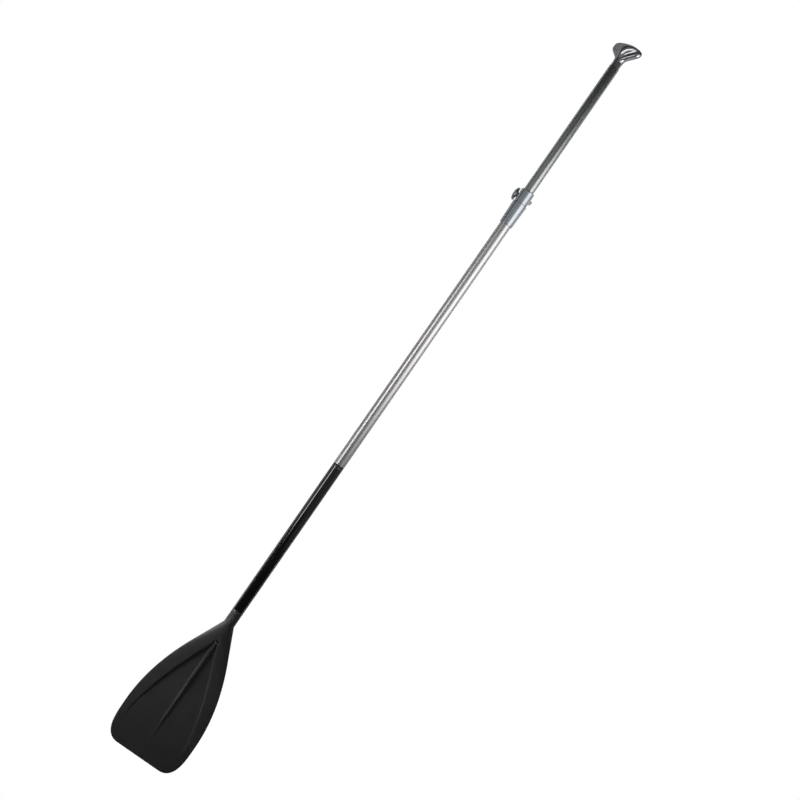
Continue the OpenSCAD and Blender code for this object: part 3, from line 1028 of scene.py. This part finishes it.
class PADDLE_OT_grip(bpy.types.Operator):
    """Models the palm grip with its plug, and the rivet that holds it"""
    bl_idname = "paddle.grip"
    bl_label = "Grip"

    def execute(self, context):
        settings = context.scene.paddle_grip
        shape = GripShape(settings)
        plug_r = UPPER_R - tube_wall(context) - 0.05 * MM
        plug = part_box("palm_grip")[0].x - X_GRIP

        def round_ring(g, radius):
            angles = [2 * pi * i / shape.sides - shape.turned for i in range(shape.sides)]
            return [(X_GRIP + g, radius * cos(a), AXIS_Z + radius * sin(a)) for a in angles]

        edge = 0.3 * MM
        rings = [round_ring(plug, plug_r - 2 * edge), round_ring(plug + 2 * edge, plug_r),
                 round_ring(-edge, plug_r), round_ring(0, plug_r), round_ring(0, shape.neck - edge),
                 round_ring(edge, shape.neck), round_ring(3 * edge, shape.neck)]
        rings += [round_ring(mix(1 * MM, shape.flare, i / 8), shape.neck) for i in range(1, 8)]
        count = 84
        top = shape.height - 0.1 * MM
        rings += [shape.section(mix(shape.flare, top, 1 - (1 - i / count) ** 1.5))
                  for i in range(count + 1)]
        grip = wrap("palm_grip_shell", rings)
        head = grip.vertex_groups.new(name="head")
        over_neck = X_GRIP + 3 * MM
        head.add([v.index for v in grip.data.vertices if v.co.x > over_neck], 1.0, "REPLACE")
        modify(grip, "SMOOTH", factor=0.5, iterations=60, vertex_group="head")
        smooth(grip, 45)
        finish = plastic("Glossy Grip Plastic", settings.plastic, polish=0.16, grain=1500.0,
                         spread=0.04, relief=0.02, wear=0.15, worn=(0.4, 0.4, 0.4), tone=1.12,
                         pearl=0.8)
        hand_over(grip, "upper", "palm_grip", finish)
        self.rivet()
        return {"FINISHED"}

    def rivet(self):
        low, high = (corner.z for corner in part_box("grip_rivet"))
        head = 3.6 * MM
        head_height = 1.1 * MM
        shank = 2 * MM
        tall = high - low
        rivet = turn("blind_rivet", [
            (0, shank - 0.3 * MM), (0.3 * MM, shank), (tall - head_height, shank),
            (tall - head_height, head - 0.1 * MM), (tall - head_height + 0.25 * MM, head),
            *arc((tall - 0.8 * MM, 0), (0.8 * MM, head), 12, 60, 4),
            (tall, 1.3 * MM), (tall - 0.4 * MM, 1.1 * MM)], sides=64)
        stand(rivet, (X_RIVET, 0, high), DOWN)
        smooth(rivet)
        finish = metal("Rivet Aluminium", (0.6, 0.6, 0.6), polish=0.32, across=500.0)
        hand_over(rivet, "upper", "grip_rivet", finish)


# Pieces inside the shaft

class PADDLE_OT_inside(bpy.types.Operator):
    """Models the foam plugs, the bush and the button's spring"""
    bl_idname = "paddle.inside"
    bl_label = "Inside"

    def execute(self, context):
        foam = foam_material()
        for body, name in (("shaft", "lower_foam_plug"), ("upper", "upper_foam_plug")):
            start, end, radius = span(name)
            plug = turn(name + "_core", [(0, radius), (end - start, radius)])
            round_edges(plug, 1.2 * MM)
            stand(plug, (start, 0, AXIS_Z), SHAFT)
            smooth(plug)
            hand_over(plug, body, name, foam)
        start, end, radius = span("glide_bush")
        shoulder = X_UPPER - 0.2 * MM - start
        spigot = UPPER_R - tube_wall(context) - 0.05 * MM
        groove = 0.5 * MM
        bush = turn("bush_turned", [
            (0, radius - 0.6 * MM), (0.6 * MM, radius), (3 * MM, radius),
            (3.4 * MM, radius - groove), (4.6 * MM, radius - groove), (5 * MM, radius),
            (shoulder, radius), (shoulder, spigot), (end - start, spigot)])
        round_edges(bush, 0.3 * MM)
        stand(bush, (start, 0, AXIS_Z), SHAFT)
        smooth(bush)
        nylon = plastic("Natural Nylon", (0.62, 0.60, 0.55), polish=0.4, wear=0.0, tone=0.95)
        hand_over(bush, "glide", "glide_bush", nylon)
        self.spring()
        return {"FINISHED"}

    def spring(self):
        """Folded leaf: its upper arm rests in the ferrule and its lower arm lies against the button."""
        node_name = "button_spring"
        spring = bpy.data.objects.new("folded_spring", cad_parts[node_name].data.copy())
        spring.data.materials.clear()
        bpy.context.scene.collection.objects.link(spring)
        close_up(spring, 0.01 * MM)
        round_edges(spring, 0.1 * MM, segments=2)
        smooth(spring, 30)
        coat_piece(spring, metal("Spring Steel", (0.5, 0.5, 0.49), polish=0.25, across=900.0))
        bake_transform(spring)
        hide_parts(node_name)


# Studio

class PADDLE_OT_studio(bpy.types.Operator):
    """Sets the floor, the lights and the camera"""
    bl_idname = "paddle.studio"
    bl_label = "Studio"

    def execute(self, context):
        settings = context.scene.paddle_studio
        context.scene.view_settings.view_transform = "Standard"
        self.floor(settings)
        self.world(context, settings)
        near, far = 1.3, 1.5
        self.softbox("Right Softbox", 51, near, (1.0, 1.74), x=0.5, radiance=1.05, spread=110)
        self.softbox("Right Softbox End", 50, near, (0.25, 1.5), x=-0.12, radiance=0.35)
        self.softbox("Right Softbox Tail", 50, near, (0.35, 1.4), x=-0.42, radiance=0.12)
        self.softbox("Left Softbox", -49, far, (0.65, 0.62), x=0.15, radiance=3.8)
        self.softbox("Left Softbox End", -49, far, (0.36, 0.45), x=-0.36, radiance=3.6)
        self.softbox("Left Panel", -45, 1.6, (0.7, 1.6), x=0.85, radiance=0.4)
        self.softbox("Top Panel", -2, 2.0, (1.18, 0.8), x=0.54, radiance=0.65)
        self.softbox("Top Panel End", -2, 2.0, (0.5, 0.8), x=-0.3, radiance=0.15)
        self.softbox("Left Fill", -76, near, (1.0, 0.4), x=0.0, radiance=0.25)
        blade_middle = (X_TIP + 0.22, 0, 0.02)
        grip_middle = (X_CROWN - 0.02, 0, AXIS_Z)
        self.panel("Blade Light", (0.1, 1.5, 0.58), blade_middle, (0.4, 0.4), radiance=5, spread=40)
        self.panel("Grip Light", (-0.5, -1.1, 0.9), grip_middle, (1.2, 1.0), radiance=0.8, spread=50)
        self.camera(context, settings)
        return {"FINISHED"}

    def floor(self, settings):
        deselect()
        bpy.ops.mesh.primitive_plane_add(size=30, location=(0, 0, 0))
        floor = fresh("studio_floor")
        made = bpy.data.materials.new("Studio Floor")
        made.use_nodes = True
        tree = made.node_tree
        tree.nodes.clear()
        paper = node(tree, "ShaderNodeBsdfDiffuse", {"Color": (*settings.floor, 1)})
        white = node(tree, "ShaderNodeEmission", {"Strength": settings.backdrop})
        self.white_behind(tree, paper, white, "ShaderNodeOutputMaterial")
        coat_piece(floor, made)

    def world(self, context, settings):
        world = bpy.data.worlds.new("Studio")
        context.scene.world = world
        world.use_nodes = True
        tree = world.node_tree
        tree.nodes.clear()
        room, white = (node(tree, "ShaderNodeBackground", {"Color": (1, 1, 1, 1), "Strength": strength})
                       for strength in (0.03, settings.backdrop))
        self.white_behind(tree, room, white, "ShaderNodeOutputWorld")

    def white_behind(self, tree, plain, white, end):
        """White where it is seen directly, and the plain shader for the light that it sends back."""
        seen = node(tree, "ShaderNodeLightPath").outputs["Is Camera Ray"]
        both = node(tree, "ShaderNodeMixShader",
                    {0: seen, 1: plain.outputs[0], 2: white.outputs[0]})
        tree.links.new(both.outputs[0], node(tree, end).inputs["Surface"])

    def softbox(self, name, angle, distance, size, x, radiance, spread=180):
        """Panel beside the shaft, at an angle from upright and facing the shaft."""
        tilt = radians(angle)
        place = Vector((x, -distance * sin(tilt), AXIS_Z + distance * cos(tilt)))
        self.panel(name, place, (x, 0, AXIS_Z), size, radiance, spread)

    def panel(self, name, place, target, size, radiance, spread):
        """Rectangular light that faces a target and that the camera does not see."""
        light = bpy.data.lights.new(name, "AREA")
        light.shape = "RECTANGLE"
        light.size, light.size_y = size
        light.energy = radiance * pi * size[0] * size[1]
        light.spread = radians(spread)
        made = bpy.data.objects.new(name, light)
        bpy.context.scene.collection.objects.link(made)
        made.location = place
        aim = Vector(target) - Vector(place)
        side = Vector((1, 0, 0)) - aim * (aim.x / aim.length_squared)
        upward = side.cross(aim)
        made.rotation_euler = Matrix((side.normalized(), upward.normalized(),
                                      -aim.normalized())).transposed().to_euler()
        made.visible_camera = False

    def camera(self, context, settings):
        data = bpy.data.cameras.new("Camera")
        data.sensor_width = 36
        view_width = 1.9424
        data.lens = data.sensor_width * settings.camera_height / view_width
        camera = bpy.data.objects.new("Camera", data)
        context.scene.collection.objects.link(camera)
        camera.location = (0.0314, -0.0316, AXIS_Z + settings.camera_height)
        camera.rotation_euler = (0, 0, radians(-55.296))
        context.scene.camera = camera


STEPS = [PADDLE_OT_blade, PADDLE_OT_tubes, PADDLE_OT_joint, PADDLE_OT_collar, PADDLE_OT_fasteners,
         PADDLE_OT_grip, PADDLE_OT_inside, PADDLE_OT_studio]


class PADDLE_PT_sidebar(bpy.types.Panel):
    """Lists the steps that build the paddle"""
    bl_idname = "PADDLE_PT_sidebar"
    bl_label = "Stand-Up Paddle"
    bl_space_type = "VIEW_3D"
    bl_region_type = "UI"
    bl_category = "Paddle"

    def draw(self, context):
        for step in STEPS:
            self.layout.operator(step.bl_idname)


SETTINGS = {"paddle_blade": BladeSettings, "paddle_tubes": TubeSettings, "paddle_joint": JointSettings,
            "paddle_collar": CollarSettings, "paddle_grip": GripSettings,
            "paddle_studio": StudioSettings}
CLASSES = [*SETTINGS.values(), *STEPS, PADDLE_PT_sidebar]


def register():
    for made in CLASSES:
        bpy.utils.register_class(made)
    for name, made in SETTINGS.items():
        setattr(bpy.types.Scene, name, PointerProperty(type=made))


def unregister():
    for name in SETTINGS:
        delattr(bpy.types.Scene, name)
    for made in reversed(CLASSES):
        bpy.utils.unregister_class(made)


def main():
    register()
    for step in STEPS:
        area, name = step.bl_idname.split(".")
        getattr(getattr(bpy.ops, area), name)()


if __name__ == "__main__":
    main()
